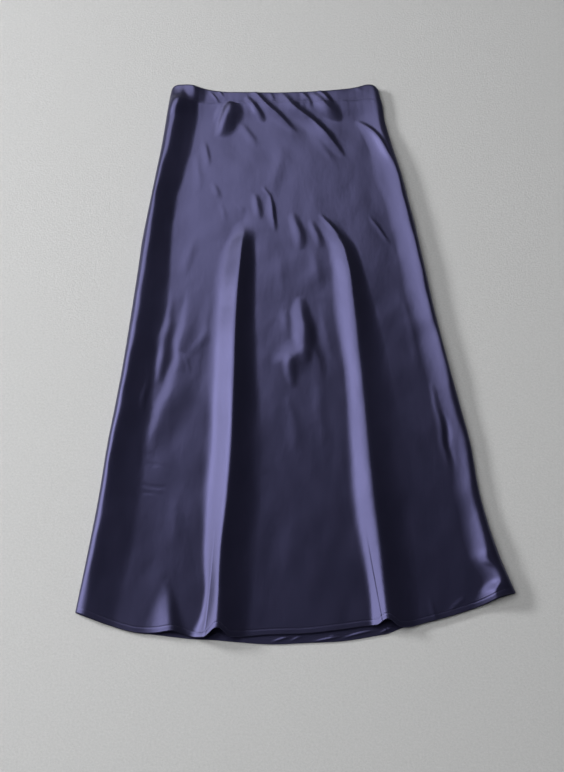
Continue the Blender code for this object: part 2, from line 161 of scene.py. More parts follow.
# The hem's edge on the front and the back, by distance across
HemPoint = namedtuple("HemPoint", "x front back")
HEM = [
    HemPoint(-311, -418, -418),
    HemPoint(-264, -435.5, -435),
    HemPoint(-224, -446.5, -446),
    HemPoint(-196, -447.5, -449),
    HemPoint(-172, -445.5, -452),
    HemPoint(-143, -453.5, -455),
    HemPoint(-120, -455, -456),
    HemPoint(-79, -453, -459.5),
    HemPoint(-45, -450, -462),
    HemPoint(20, -447.5, -460),
    HemPoint(66, -442, -457.5),
    HemPoint(110, -437, -450.5),
    HemPoint(130, -438.5, -446.5),
    HemPoint(147, -440.5, -439.5),
    HemPoint(184, -432, -431),
    HemPoint(230, -419, -418),
    HemPoint(266, -406.5, -406),
    HemPoint(288, -397, -396.5),
    HemPoint(311, -389.5, -389.5),
]

# Creases of the front, each from its upper end to its lower one: a ridge, or a trough where
# rise is negative, that reaches this far to the left and to the right, with a crest this round.
# Its flanks set in over this share of their width. It bows to the right, is fullest at this
# share of its length, and narrows at its ends to tip.
Crease = namedtuple("Crease", "x0 y0 x1 y1 rise left right nose foot bow fullest tip")
WAIST_CREASES = [
    Crease(-25, 444, 66, 354, 3.6, 26, 14, 1.4, 1.0, -3, 0.50, 0.5),      # long pull, in two parts
    Crease(28, 394, 80, 322, 3.0, 24, 12, 1.4, 1.0, 3, 0.50, 0.4),
    Crease(-71, 447, 6, 364, 2.9, 19, 12, 1.4, 1.0, 1, 0.42, 0.5),        # shorter one beside it
    Crease(-77, 431, -47, 388, 2.8, 14, 13, 2.5, 0.8, 0, 0.5, 0.5),
    Crease(-41, 444, -31, 425, 0.6, 6, 5, 1.0, 1.0, 0, 0.5, 0.6),
    Crease(9, 444, 29, 414, 1.2, 9, 8, 1.5, 1.0, 0, 0.5, 0.7),
    Crease(34, 448, 60, 421, 2.2, 10, 10, 1.4, 1.0, 0, 0.5, 0.6),
    Crease(25, 439, 76, 389, 4.2, 18, 21, 3.0, 0.6, 0, 0.50, 0.4),        # bulge right of the pull
    Crease(98, 456, 114, 443, 0.5, 5, 4, 1.0, 1.0, 0, 0.5, 0.6),
    Crease(100, 391, 158, 309, 2.5, 18, 8, 1.2, 1.0, 6, 0.46, 0.5),       # pull into the right side
    Crease(118, 376, 168, 286, 1.0, 24, 13, 2.0, 0.8, 3, 0.50, 0.4),
    Crease(-136, 445, -121, 418, 0.9, 6, 4, 1.0, 1.0, 0, 0.5, 0.6),
    Crease(-123, 450, -113, 429, 0.7, 5, 4, 1.0, 1.0, 0, 0.5, 0.6),
    Crease(-100, 423, -123, 356, 6.2, 18, 34, 4.5, 0.6, -1, 0.38, 0.5),   # bulge under the band
    Crease(-117, 421, -131, 384, 1.3, 7, 8, 1.5, 1.0, 0, 0.5, 0.5),
    Crease(-164, 474, -161, 422, 4.4, 22, 26, 2.5, 0.5, 0, 0.5, 0.7),     # lump at the band's end
    Crease(-147, 419, -113, 420, -0.4, 2.6, 2.6, 1.0, 1.0, 0, 0.5, 0.6),  # its seam, where it shows
    Crease(78, 426, 113, 429, -0.3, 2.6, 2.6, 1.0, 1.0, 0, 0.5, 0.6),
    Crease(-143, 350, -136, 300, 0.9, 14, 8, 2.0, 1.0, 0, 0.5, 0.7),
    Crease(-90, 384, -60, 340, 0.7, 15, 13, 4.0, 1.0, 0, 0.45, 0.7),
    Crease(10, 404, 66, 296, 0.5, 18, 16, 3.0, 1.0, 3, 0.4, 0.7),
]
HIP_CREASES = [
    Crease(-52, 267, -37, 243, 0.9, 8, 4, 1.0, 1.0, 0, 0.6, 0.6),
    Crease(-41, 250, -31, 184, 1.9, 14, 6, 1.2, 1.0, 1, 0.45, 0.5),
    Crease(-66, 253, -54, 205, 1.6, 12, 12, 3.0, 0.9, 0, 0.5, 0.6),
    Crease(-97, 242, -76, 218, 0.35, 4, 3, 0.8, 1.0, 0, 0.5, 0.6),
    Crease(-5, 222, 14, 152, 1.9, 15, 14, 4.0, 0.9, 0, 0.5, 0.6),
    Crease(23, 206, 41, 156, 1.3, 11, 12, 3.0, 0.9, 0, 0.5, 0.6),
    Crease(37, 216, 74, 166, 1.6, 11, 8, 1.4, 1.0, 2, 0.5, 0.4),          # start of the right flute
    Crease(-134, 274, -118, 245, 0.8, 12, 6, 1.5, 1.0, 0, 0.55, 0.6),
    Crease(118, 214, 149, 163, 0.9, 8, 5, 1.0, 1.0, 0, 0.5, 0.6),
    Crease(-116, 238, -110, 206, 0.35, 5, 8, 1.5, 1.0, 0, 0.5, 0.7),
    Crease(-20, 340, -34, 250, 0.5, 20, 22, 4.0, 1.0, 0, 0.5, 0.8),
    Crease(126, 330, 146, 236, 0.6, 13, 15, 3.0, 1.0, 0, 0.5, 0.8),
    Crease(-156, 330, -152, 250, 0.5, 13, 13, 3.0, 1.0, 0, 0.5, 0.8),
]
KNEE_CREASES = [
    Crease(6, 72, 14, -38, 4.4, 24, 22, 3.5, 0.5, 4, 0.50, 0.30),         # knee bump
    Crease(16, 34, 40, -74, 1.6, 60, 16, 3.0, 0.6, 0, 0.45, 0.5),
    Crease(-15, 50, -9, 4, 0.8, 14, 13, 4.0, 0.7, 0, 0.5, 0.6),
    Crease(16, -14, -34, -42, 2.4, 30, 42, 5.0, 0.9, 0, 0.42, 0.5),       # and the fold under it
    Crease(-12, -22, -2, -78, 1.9, 14, 15, 3.0, 0.7, 0, 0.42, 0.5),
    Crease(40, 60, 58, -40, 0.6, 13, 20, 3.0, 1.0, 0, 0.5, 0.8),
    Crease(-24, 160, -20, 60, 0.5, 22, 24, 4.0, 1.0, 0, 0.5, 0.8),
    Crease(30, 160, 40, 80, 0.5, 15, 18, 3.0, 1.0, 0, 0.5, 0.8),
    Crease(-10, -90, 6, -210, 0.6, 17, 20, 4.0, 1.0, 0, 0.4, 0.8),
    Crease(34, -60, 44, -220, 0.5, 16, 20, 4.0, 1.0, 0, 0.4, 0.8),
    Crease(-56, -110, -50, -250, 0.5, 16, 18, 4.0, 1.0, 0, 0.4, 0.8),
]
SIDE_CREASES = [
    Crease(-190, 84, -207, -75, 2.0, 14, 18, 5.0, 0.8, 2, 0.62, 0.4),     # ridges by the left roll
    Crease(-162, 92, -178, -56, 1.7, 14, 48, 5.5, 0.9, 1, 0.58, 0.6),
    Crease(-170, -22, -217, -184, 2.2, 19, 50, 6.0, 0.7, 2, 0.42, 0.6),
    Crease(-222, -60, -227, -122, 0.8, 5, 6, 1.0, 1.0, 0, 0.5, 0.6),
    Crease(-130, 20, -168, -44, 0.3, 11, 14, 5.0, 1.0, 0, 0.5, 0.9),
    Crease(-170, -22, -158, -60, 0.35, 4, 4, 0.8, 1.0, 2, 0.5, 0.6),
    Crease(-158, 180, -172, 110, 0.5, 15, 15, 3.0, 1.0, 0, 0.5, 0.8),
    Crease(-128, 80, -152, -80, 0.5, 17, 17, 3.0, 1.0, 0, 0.5, 0.8),
    Crease(-219, -197, -188, -203, -0.30, 2.5, 2.5, 0.8, 1.0, 1, 0.3, 0.5),
    Crease(-224, -229, -180, -234, -0.42, 2.8, 2.8, 0.8, 1.0, -1, 0.35, 0.5),
    Crease(-226, -240, -182, -247, -0.32, 2.5, 2.5, 0.8, 1.0, 1, 0.35, 0.5),
    Crease(-170, -230, -176, -330, 0.4, 18, 18, 4.0, 1.0, 0, 0.5, 0.8),
    Crease(-183, -372, -169, -516, 7.0, 46, 27, 3.0, 0.7, 0, 0.60, 0.3),  # ripple through the hem
    Crease(216, -112, 233, -212, -1.3, 5, 12, 1.5, 1.0, 0, 0.45, 0.4),    # slit in the right roll
    Crease(204, -70, 226, -214, 1.3, 12, 6, 2.0, 1.0, 0, 0.4, 0.5),
    Crease(284, -382, 302, -398, 0.9, 6, 6, 1.0, 1.0, 0, 0.5, 0.6),
    Crease(188, -392, 204, -446, 0.7, 10, 8, 2.0, 1.0, 0, 0.6, 0.7),
    Crease(238, -396, 215, -416, 0.6, 6, 6, 1.5, 1.0, 0, 0.5, 0.7),
    Crease(276, -372, 292, -392, 0.6, 5, 4, 1.0, 1.0, 2, 0.5, 0.6),
    Crease(170, 70, 186, -50, 0.5, 15, 15, 4.0, 1.0, 0, 0.5, 0.8),
    Crease(150, -110, 160, -270, 0.5, 20, 22, 4.0, 1.0, 0, 0.5, 0.8),
]
CREASES = WAIST_CREASES + HIP_CREASES + KNEE_CREASES + SIDE_CREASES

# Crumples of the back's hem, on the side that shows below the front
BACK_CREASES = [
    Crease(-104, -442, -126, -457, 1.2, 8, 6, 1.5, 1.0, 0, 0.5, 0.7),
    Crease(-8, -451, -36, -460, 0.8, 4, 3, 0.8, 1.0, 0, 0.5, 0.6),
    Crease(9, -450, -10, -459, 0.6, 3, 3, 0.8, 1.0, 0, 0.5, 0.6),
    Crease(68, -449, 20, -459, 0.9, 4, 3, 0.8, 1.0, 1, 0.5, 0.6),
    Crease(69, -445, 44, -452, 0.5, 3, 3, 0.8, 1.0, 0, 0.5, 0.6),
    Crease(110, -443, 62, -455, 0.9, 4, 3, 0.8, 1.0, -1, 0.5, 0.6),
    Crease(138, -437, 116, -447, 0.8, 5, 4, 0.8, 1.0, 0, 0.5, 0.6),
]

# Soft folds of the back, which lift it off the floor
BACK_FOLDS = [
    Crease(-96, 392, -150, 300, 0.9, 14, 10, 2.0, 1.0, 2, 0.45, 0.5),
    Crease(-20, 400, 24, 318, 1.0, 12, 18, 2.0, 1.0, -3, 0.40, 0.5),
    Crease(52, 396, 92, 330, 0.7, 9, 13, 1.5, 1.0, 1, 0.50, 0.6),
    Crease(-60, 384, -72, 330, 0.5, 12, 9, 2.0, 1.0, 0, 0.50, 0.7),
    Crease(-150, 210, -176, 30, 1.1, 18, 26, 4.0, 1.0, 4, 0.42, 0.6),
    Crease(-40, 240, -18, 120, 0.9, 20, 14, 3.0, 1.0, 2, 0.55, 0.5),
    Crease(64, 262, 96, 96, 1.0, 16, 24, 4.0, 1.0, -4, 0.45, 0.5),
    Crease(-92, 60, -120, -190, 1.2, 24, 30, 5.0, 1.0, 3, 0.50, 0.7),
    Crease(6, 40, 20, -220, 1.0, 30, 22, 5.0, 1.0, -5, 0.45, 0.6),
    Crease(126, 10, 158, -230, 1.1, 22, 28, 4.0, 1.0, 3, 0.50, 0.6),
    Crease(-192, -120, -236, -300, 0.9, 18, 22, 4.0, 1.0, 2, 0.45, 0.6),
    Crease(-60, -230, -52, -400, 0.8, 20, 24, 4.0, 1.0, 0, 0.55, 0.7),
    Crease(84, -250, 104, -396, 0.7, 18, 15, 3.0, 1.0, 2, 0.50, 0.7),
    Crease(206, -180, 240, -330, 0.8, 16, 20, 3.0, 1.0, -2, 0.45, 0.6),
]

# How far the creases stray from their lines, and over what lengths they come and go
Stray = namedtuple("Stray", "shift across along phase")
STRAYS = [Stray(1.5, 43.0, 19.0, 0.0), Stray(0.8, 31.0, 8.3, 1.7)]

# Slack, which is finer than the solids' folds. A swell repeats at its length along its heading,
# in degrees from +X, and its crests wander to the sides.
Swell = namedtuple("Swell", "length heading rise wander phase")
SWELLS = [
    Swell(58.0, 6.0, 0.14, 14.0, 0.4),
    Swell(83.0, -9.0, 0.22, 20.0, 2.1),
    Swell(37.0, 14.0, 0.07, 9.0, 4.4),
    Swell(121.0, 24.0, 0.32, 26.0, 1.2),
    Swell(96.0, 82.0, 0.18, 18.0, 3.3),
    Swell(44.0, -28.0, 0.08, 10.0, 5.2),
]
SWELL_WANDER_RUN = 3.7  # a swell wanders once in this many of its lengths
SWELL_BEAT_RUN = 2.9    # and rises and falls once in this many
SWELL_BEAT_PHASE = 1.7

GATHER_RISE = 0.10      # gathers that the elastic makes, at the waist seam
GATHER_LENGTH = 13.0    # from one to the next
GATHER_REACH = 22.0     # and how far up and down they reach
GATHER_SHIFT = 3.0      # they stray this much from even spacing
GATHER_SHIFT_RUN = 17.0
GATHER_EVEN = 0.45      # share of their height that is the same all along
GATHER_RUNS = (23.0, 9.5)
GATHER_PHASE = 0.8

SEAM_DIP_HEM = 0.6      # the cloth drops this much at the gore seams, by the hem
SEAM_DIP_START = -290.0 # where it begins
SEAM_DIP_RUN = 90.0
SEAM_DIP_WIDTH = 1.3    # width of the drop
SEAM_DIP_REACH = 9.0    # and of the slope that makes it good
EDGE_ROUND = 1.0        # radius of the pressed edges of the hem and the band
STITCH_DIP = 0.28       # how deep a line of topstitches pulls the cloth in
STITCH_DIP_WIDTH = 1.6

# What shows of each piece's cut, in metres: width at its widest, length and area. A front piece
# lies on a back one, and the back lies on the floor.
Cut = namedtuple("Cut", "node width length area lies_on")

# A side of the skirt as a grid: named lines that run down the cloth from left to right, the
# columns between them, which way its outer face looks, and how far its stitches stand out
Side = namedtuple("Side", "lines columns facing stitch_rise")
FRONT = Side(["left_edge", "left_crest", "left_foot", "flute_left_foot", "seam_left",
              "ridge_left", "flute_left_tail", "flute_right_foot", "seam_right",
              "ridge_right", "flute_right_tail", "right_foot", "right_crest", "right_edge"],
             [8, 18, 30, 12, 8, 16, 40, 14, 8, 16, 34, 14, 8], 1, 0.05)
BACK = Side(["left_edge", "left_turn", "seam_left", "seam_right", "right_turn", "right_edge"],
            [6, 30, 180, 30, 6], -1, -0.02)
PANELS = [("side_left", "left_edge", "seam_left"), ("centre", "seam_left", "seam_right"),
          ("side_right", "seam_right", "right_edge")]
FRONT_ROWS = 300
BACK_ROWS = 120
HEM_ROWS = 10
BAND_ROWS = 16
CROWDING = 1.5          # above 1, columns lie closer together at ridges and seams
CREASE_TAPER = 1.1      # above 1, a crease fades early towards its ends
SETTLING_ROUNDS = 6     # a point's x and y depend on each other, so they are found in rounds
PROBE = 0.004           # step in columns and rows that finds the surface's slope
SHARP_ANGLE = 40.0      # edges sharper than this are shaded as corners

# Topstitches and the casing
HEM_STITCH_UP = 8.3     # the hem's topstitches lie this far above its edge
BAND_DEPTH = 22.0       # mean depth of the waistband
BAND_STITCH = 19.6      # its topstitches lie this far below its top
BAND_SWELL = 0.25       # the elastic fills the casing this much more
BAND_STEP = 0.22        # height of the casing above the gores at their seam
BAND_SLOPE = 20.0       # it comes down to that over this depth
BAND_DIP = 0.12         # how deep its topstitches pull it in
STITCH_LENGTH = 2.3
STITCH_PITCH = 3.2      # from one stitch to the next
STITCH_THICK = 0.34
STITCH_BODY = 0.26      # a stitch is this thick up to this share of its length from its middle
STITCH_SINK = 0.6       # its ends sink in by this share of its thickness
STITCH_AHEAD = 0.5      # its direction is that of the path over this distance
STITCH_START = 0.6      # a row starts this share of the way from a side's first line to its next
STITCH_PATH = 900       # points of a row's path

# Rows of topstitches, and how far down its piece each one lies, as a share of its depth
StitchRow = namedtuple("StitchRow", "name node down")
HEM_ROW = 1 - HEM_STITCH_UP / HEM_DEPTH
BAND_ROW = BAND_STITCH / BAND_DEPTH
STITCH_ROWS = [
    StitchRow("hem_stitches", "hem_front", HEM_ROW),
    StitchRow("band_stitches", "waistband_front", BAND_ROW),
    StitchRow("hem_back_stitches", "hem_back", HEM_ROW),
    StitchRow("band_back_stitches", "waistband_back", BAND_ROW),
]

# Satin: its gloss, soft mottling and weave, and the colours of each piece's cloth. All four pieces
# are one satin; the hem's colours are a painted shade darker, and the waistband's darker colour is
# a painted light paler.
Bump = namedtuple("Bump", "strength height")
Satin = namedtuple("Satin", "light dark roughness")
SATINS = {
    "satin_front": Satin((0.008, 0.0075, 0.017, 1.0), (0.005, 0.005, 0.012, 1.0), 0.32),
    "satin_back": Satin((0.008, 0.0075, 0.017, 1.0), (0.005, 0.005, 0.012, 1.0), 0.32),
    # painted light: the waistband's darker colour is paler than the gores', though it is the same
    # satin
    "satin_band": Satin((0.008, 0.0075, 0.017, 1.0), (0.006, 0.006, 0.013, 1.0), 0.34),
    # painted shade: the hem's colours are darker than the gores', though it is the same satin
    "satin_hem": Satin((0.007, 0.0065, 0.015, 1.0), (0.005, 0.005, 0.011, 1.0), 0.32),
}
SATIN_SHADER = {
    "IOR": 1.9,
    "Specular Tint": (0.49, 0.48, 1.0, 1.0),
    "Anisotropic": 0.3,
    "Sheen Weight": 0.08,
    "Sheen Roughness": 0.4,
    "Sheen Tint": (0.5, 0.48, 0.8, 1.0),
}
MOTTLE = {"Scale": 38.0, "Detail": 4.0, "Roughness": 0.52}
MOTTLE_STRETCH = (1.0, 0.55, 1.0)
MOTTLE_SPAN = (0.32, 0.72)
MOTTLE_BUMP = Bump(1.0, 0.0005)
WEAVE = {"Scale": 2600.0, "Detail": 2.0}
WEAVE_STRETCH = (1.0, 0.05, 1.0)
WEAVE_BUMP = Bump(0.35, 0.00005)

# Sewing thread and floor
THREAD_SHADER = {"Roughness": 0.5, "Sheen Weight": 0.2}
THREAD_TWIST = {"Scale": 900.0}
THREAD_DARK = (0.030, 0.028, 0.075, 1.0)
THREAD_LIGHT = (0.075, 0.070, 0.160, 1.0)
FLOOR_SHADER = {"Roughness": 0.85, "Specular IOR Level": 0.2}
FLOOR_TOOTH = {"Scale": 300.0, "Detail": 6.0, "Roughness": 0.75}
FLOOR_DARK = (0.505, 0.51, 0.51, 1.0)
FLOOR_LIGHT = (0.60, 0.60, 0.60, 1.0)
FLOOR_SPAN = (0.30, 0.70)
FLOOR_BUMP = Bump(0.5, 0.0012)
FLOOR_WIDTH = 8.0
FLOOR_DROP = -0.0002

# Camera and lamps, in metres, millimetres of lens and watts. Two of the lamps are mirrored in
# the satin, and the other two light all that is dull.
CAMERA_ELEVATION = 68.0
CAMERA_DISTANCE = 2.09983
CAMERA_LENS = 65.285
CAMERA_SENSOR = 36.0
CAMERA_NEAR = 0.05
CAMERA_AIM = Vector((-0.01979, -0.06987, 0.0))
Lamp = namedtuple("Lamp", "place size power mirrored")
LAMPS = {
    "key": Lamp((-2.45, 0.0, 1.45), (2.8, 2.4), 84.0, True),
    "top": Lamp((-1.1, 1.35, 1.65), (2.4, 2.1), 43.0, True),
    "window": Lamp((-4.3, 1.6, 1.44), (1.28, 0.64), 262.0, False),
    "fill": Lamp((-1.1, -0.1, 2.3), (2.3, 2.3), 45.0, False),
}
ROOM_LIGHT = 0.08


def smooth_table(rows, key, column):
    """A function that reads one column of a table as a smooth curve through its rows."""
    ordered = sorted(rows, key=lambda row: getattr(row, key))
    at = np.array([getattr(row, key) for row in ordered], float)
    value = np.array([getattr(row, column) for row in ordered], float)
    slope = np.gradient(value, at)

    def read(position):
        position = np.clip(position, at[0], at[-1])
        i = np.clip(np.searchsorted(at, position, side="right") - 1, 0, len(at) - 2)
        span = at[i + 1] - at[i]
        f = (position - at[i]) / span
        start = (1 + 2 * f) * (1 - f) ** 2 * value[i] + f * (1 - f) ** 2 * span * slope[i]
        end = f * f * (3 - 2 * f) * value[i + 1] - f * f * (1 - f) * span * slope[i + 1]
        return start + end

    return read


SECTION = {name: smooth_table(SECTIONS, "y", name) for name in Section._fields[1:]}
EDGE = {name: smooth_table(EDGES, "y", name) for name in Edge._fields[1:]}
SLOPE = {name: smooth_table(SLOPES, "y", name) for name in Slopes._fields[1:]}
WAIST_TOP = smooth_table(WAIST, "x", "top")
WAIST_SEAM = smooth_table(WAIST, "x", "seam")
FRONT_HEM = smooth_table(HEM, "x", "front")
BACK_HEM = smooth_table(HEM, "x", "back")


# ---------------------------------------------------------------- heights
def bell(q):
    """1 at q = 0 and 0 from q = 1 on, with no corner at either."""
    return np.where(np.abs(q) < 1, (1 - q * q) ** 2, 0.0)


def slope_shape(offset, width, nose, power):
    """Share of a ridge's height that is left at a distance from it: a round nose, then a slope."""
    rounded = np.sqrt(offset * offset + nose * nose) - nose
    q = rounded / (np.sqrt(width * width + nose * nose) - nose)
    return np.clip(1 - q, 0.0, 1.0) ** power


def climb_shape(offset, width, nose, foot):
    """The same for a straight slope that sets in softly over this share of its width."""
    rest = slope_shape(offset, width, nose, 1.0)
    started = np.minimum(rest / foot, 1.0)
    height = foot * started ** 3 * (1 - started / 2) + np.maximum(rest - foot, 0.0)
    return height / (1 - foot / 2)


def flute_shape(offset, climb, drop, nose, flute):
    """Height of a flute as a share of its ridge's, by distance right of the ridge."""
    before = climb_shape(offset, climb, nose, flute.climb_foot)
    after = slope_shape(offset, drop, nose, flute.drop_power)
    return np.where(offset < 0, before, after)


def strayed(x, y):
    """Places moved a little, so that creases wander as they do in worn cloth."""
    moved_x, moved_y = x, y
    for stray in STRAYS:
        moved_x = moved_x + stray.shift * np.sin(y / stray.along + x / stray.across + stray.phase)
        moved_y = moved_y + stray.shift * np.sin(x / stray.along - y / stray.across + stray.phase)
    return moved_x, moved_y


def crease_height(x, y, crease):
    """Height that one crease adds."""
    length = float(np.hypot(crease.x1 - crease.x0, crease.y1 - crease.y0))
    run_x, run_y = (crease.x1 - crease.x0) / length, (crease.y1 - crease.y0) / length
    along = np.clip(((x - crease.x0) * run_x + (y - crease.y0) * run_y) / length, 0.0, 1.0)
    rightward = (y - crease.y0) * run_x - (x - crease.x0) * run_y
    rightward = rightward - crease.bow * 4 * along * (1 - along)
    fullness = np.sin(pi * along ** (log(0.5) / log(crease.fullest)))
    reach = np.where(rightward > 0, crease.right, crease.left)
    reach = reach * (crease.tip + (1 - crease.tip) * fullness)
    across = climb_shape(rightward, reach, crease.nose, crease.foot)
    return crease.rise * across * fullness ** CREASE_TAPER


def ripple_height(x, y):
    """Slack of the cloth: long uneven swells, and gathers that die away below the waistband."""
    height = np.zeros_like(x)
    for swell in SWELLS:
        heading = radians(swell.heading)
        across = x * cos(heading) + y * sin(heading)
        along = 2 * pi * (y * cos(heading) - x * sin(heading))
        wander = swell.wander * np.sin(along / (swell.length * SWELL_WANDER_RUN) + swell.phase)
        beat = np.sin(along / (swell.length * SWELL_BEAT_RUN) + SWELL_BEAT_PHASE * swell.phase)
        wave = np.sin(2 * pi * (across + wander) / swell.length + swell.phase)
        height += swell.rise * (0.5 + 0.5 * beat) * wave
    below = np.abs(y - WAIST_SEAM(x)) / GATHER_REACH
    gather = np.sin(2 * pi * (x + GATHER_SHIFT * np.sin(x / GATHER_SHIFT_RUN)) / GATHER_LENGTH)
    long_run, short_run = GATHER_RUNS
    uneven = np.sin(x / long_run + GATHER_PHASE) * np.sin(x / short_run)
    evenness = GATHER_EVEN + (1 - GATHER_EVEN) * uneven
    return height + GATHER_RISE * gather * evenness * np.exp(-below * below)


def seam_groove(x, y):
    """How deep the cloth drops right of the gore seams: hardly at all until near the hem."""
    depth = SEAM_DIP_HEM * np.clip((SEAM_DIP_START - y) / SEAM_DIP_RUN, 0.0, 1.0)
    dip = np.zeros_like(x)
    for seam in ("seam_left", "seam_right"):
        offset = x - SECTION[seam](y)
        rise = np.clip(1 - offset / SEAM_DIP_REACH, 0.0, 1.0) ** 2
        dip = dip + np.where(offset < 0, bell(offset / SEAM_DIP_WIDTH), rise)
    return depth * dip


def crest_sway(y, phase):
    """How far a roll's crest strays from its line."""
    turn = 2 * pi * y / CREST_SWAY_LENGTH + phase
    slow, quick = np.sin(turn), np.sin(CREST_SWAY_QUICK * turn + phase)
    return CREST_SWAY * (CREST_SWAY_SLOW * slow + (1 - CREST_SWAY_SLOW) * quick)


def crest_left(y):
    """Distance across of the left roll's crest."""
    return SECTION["left"](y) + EDGE["turn_left"](y) + crest_sway(y, CREST_PHASE_LEFT)


def crest_right(y):
    """Distance across of the right roll's crest."""
    return SECTION["right"](y) - EDGE["turn_right"](y) + crest_sway(y, CREST_PHASE_RIGHT)


def left_roll_shape(offset, width):
    """Share of the left roll's height: a steady slope that ends in a long, weak tail."""
    steep = climb_shape(offset, width, ROLL_NOSE, ROLL_STEEP_FOOT)
    tail = climb_shape(offset, width * ROLL_TAIL_WIDTH, ROLL_NOSE, 1.0)
    return ROLL_STEEP * steep + (1 - ROLL_STEEP) * tail


def front_height(x, y):
    """Top of the front gores inside their two crests."""
    left_roll = left_roll_shape(x - crest_left(y), EDGE["fall_left"](y))
    right_roll = slope_shape(crest_right(y) - x, EDGE["fall_right"](y), ROLL_NOSE, ROLL_POWER)
    height = REST + SECTION["puff"](y)
    height = height + SECTION["roll_left"](y) * left_roll
    height = height + SECTION["roll_right"](y) * right_roll
    for side, flute in FLUTES.items():
        shape = flute_shape(x - SECTION["ridge_" + side](y), SLOPE["climb_" + side](y),
                            SLOPE["drop_" + side](y), SLOPE["nose"](y), flute)
        height = height + SECTION["flute_" + side](y) * shape
    crease_x, crease_y = strayed(x, y)
    for crease in CREASES:
        height = height + crease_height(crease_x, crease_y, crease)
    return height + ripple_height(x, y) - seam_groove(x, y)


def back_lift(x, y):
    """How far the back's soft folds lift it off the floor."""
    lift = np.zeros_like(x)
    crease_x, crease_y = strayed(x, y)
    for crease in BACK_FOLDS:
        lift = np.maximum(lift, crease_height(crease_x, crease_y, crease))
    return lift


# ---------------------------------------------------------------- lines down and across
def front_line_places(y):
    """Distance across of each of the front's lines."""
    left_crest, right_crest = crest_left(y), crest_right(y)
    ridge_left, ridge_right = SECTION["ridge_left"](y), SECTION["ridge_right"](y)
    return np.stack([SECTION["left"](y), left_crest, left_crest + EDGE["fall_left"](y),
                     ridge_left - SLOPE["climb_left"](y), SECTION["seam_left"](y), ridge_left,
                     ridge_left + SLOPE["drop_left"](y), ridge_right - SLOPE["climb_right"](y),
                     SECTION["seam_right"](y), ridge_right, ridge_right + SLOPE["drop_right"](y),
                     right_crest - EDGE["fall_right"](y), right_crest, SECTION["right"](y)])


def back_line_places(y):
    """Distance across of each of the back's lines."""
    left, right = SECTION["left"](y), SECTION["right"](y)
    return np.stack([left, left + BACK_TURN, SECTION["seam_left"](y) - BACK_SEAM_OUT,
                     SECTION["seam_right"](y) + BACK_SEAM_OUT, right - BACK_TURN, right])


def front_edge(x, y):
    """The front hem's edge, which the ridges of the flutes draw up."""
    pull = 0.0
    for side, flute in FLUTES.items():
        offset = x - SECTION["ridge_" + side](y)
        pull = pull + flute.hem_pull * bell(offset / flute.hem_pull_width)
    return FRONT_HEM(x) + pull


def back_edge(x, y):
    """The back hem's edge."""
    return BACK_HEM(x)


def waist_top(x, y):
    """The waistband's top edge."""
    return WAIST_TOP(x)


def waist_seam(x, y):
    """The seam between the waistband and the gores."""
    return WAIST_SEAM(x)


def hem_seam(edge):
    """The line where a hem meets the gores, above its edge."""
    return lambda x, y: edge(x, y) + HEM_DEPTH


# ---------------------------------------------------------------- surfaces
def crossings(u, f, places, upper, lower):
    """Where columns u cross rows f, as x, y and the angle round the side's turn, or nan."""
    y = np.zeros_like(u)
    for _ in range(SETTLING_ROUNDS):
        stops = places(y)
        last = len(stops) - 1
        i = np.clip(u.astype(int), 0, last - 1)
        start = np.take_along_axis(stops, i[None], 0)[0]
        stop = np.take_along_axis(stops, i[None] + 1, 0)[0]
        turn = np.where(u < 1, u * pi / 2, np.where(u > last - 1, (last - u) * pi / 2, np.nan))
        x = start + (stop - start) * (u - i)
        x = np.where(u < 1, start + (stop - start) * (1 - np.cos(turn)), x)
        x = np.where(u > last - 1, stop - (stop - start) * (1 - np.cos(turn)), x)
        y = upper(x, y) + (lower(x, y) - upper(x, y)) * f
    return x, y, turn


def front_points(u, f, upper, lower, wall, proud):
    """Points of the front's outer side, never so low that they would enter the back."""
    x, y, turn = crossings(u, f, front_line_places, upper, lower)
    lowest = 2 * wall + LAYER_GAP
    stops = front_line_places(y)
    crest_x = np.where(u < 1, stops[1], stops[-2])
    flat = np.isnan(turn)
    height = np.maximum(front_height(np.where(flat, x, crest_x), y) + proud, lowest)
    side = SECTION["edge"](y) + SEAM_GAP / 2
    height = np.where(flat, height, side + (height - side) * np.sin(turn))
    return np.stack([x, y, height], axis=-1)


def back_points(u, f, upper, lower):
    """Points of the back's underside, which lies flat up to the turns at its sides."""
    x, y, turn = crossings(u, f, back_line_places, upper, lower)
    side = SECTION["edge"](y) - SEAM_GAP / 2
    height = np.where(np.isnan(turn), back_lift(x, y), side * (1 - np.sin(turn)))
    return np.stack([x, y, height], axis=-1)


def front_surface(upper, lower, wall, proud=0.0, finish=None):
    """A function of columns and rows for one part of the front."""
    def points_at(u, f):
        points = front_points(u, f, upper, lower, wall, proud)
        if finish is not None:
            points[..., 2] += finish(f)
        return points
    return points_at


def back_surface(upper, lower):
    """A function of columns and rows for one part of the back."""
    return lambda u, f: back_points(u, f, upper, lower)


def rounded_edge(distance):
    """Drop of a pressed edge at a distance in from it."""
    reach = np.clip(EDGE_ROUND - distance, 0.0, EDGE_ROUND)
    return np.sqrt(EDGE_ROUND ** 2 - reach ** 2) - EDGE_ROUND


def hem_finish(f):
    """The hem's pressed edge, and the dip of its topstitches."""
    up = HEM_DEPTH * (1 - f)
    return rounded_edge(up) - STITCH_DIP * bell((up - HEM_STITCH_UP) / STITCH_DIP_WIDTH)


def band_finish(f):
    """The casing's pressed top, its stitch line, and the elastic's swell between them."""
    depth = BAND_DEPTH * f
    swell = BAND_SWELL * np.sin(pi * f)
    low = np.clip(1 - (BAND_DEPTH - depth) / BAND_SLOPE, 0.0, 1.0)
    flush = (BAND_PROUD - BAND_STEP) * low * low * (3 - 2 * low)
    dip = BAND_DIP * bell((depth - BAND_STITCH) / STITCH_DIP_WIDTH)
    return rounded_edge(depth) + swell - flush - dip


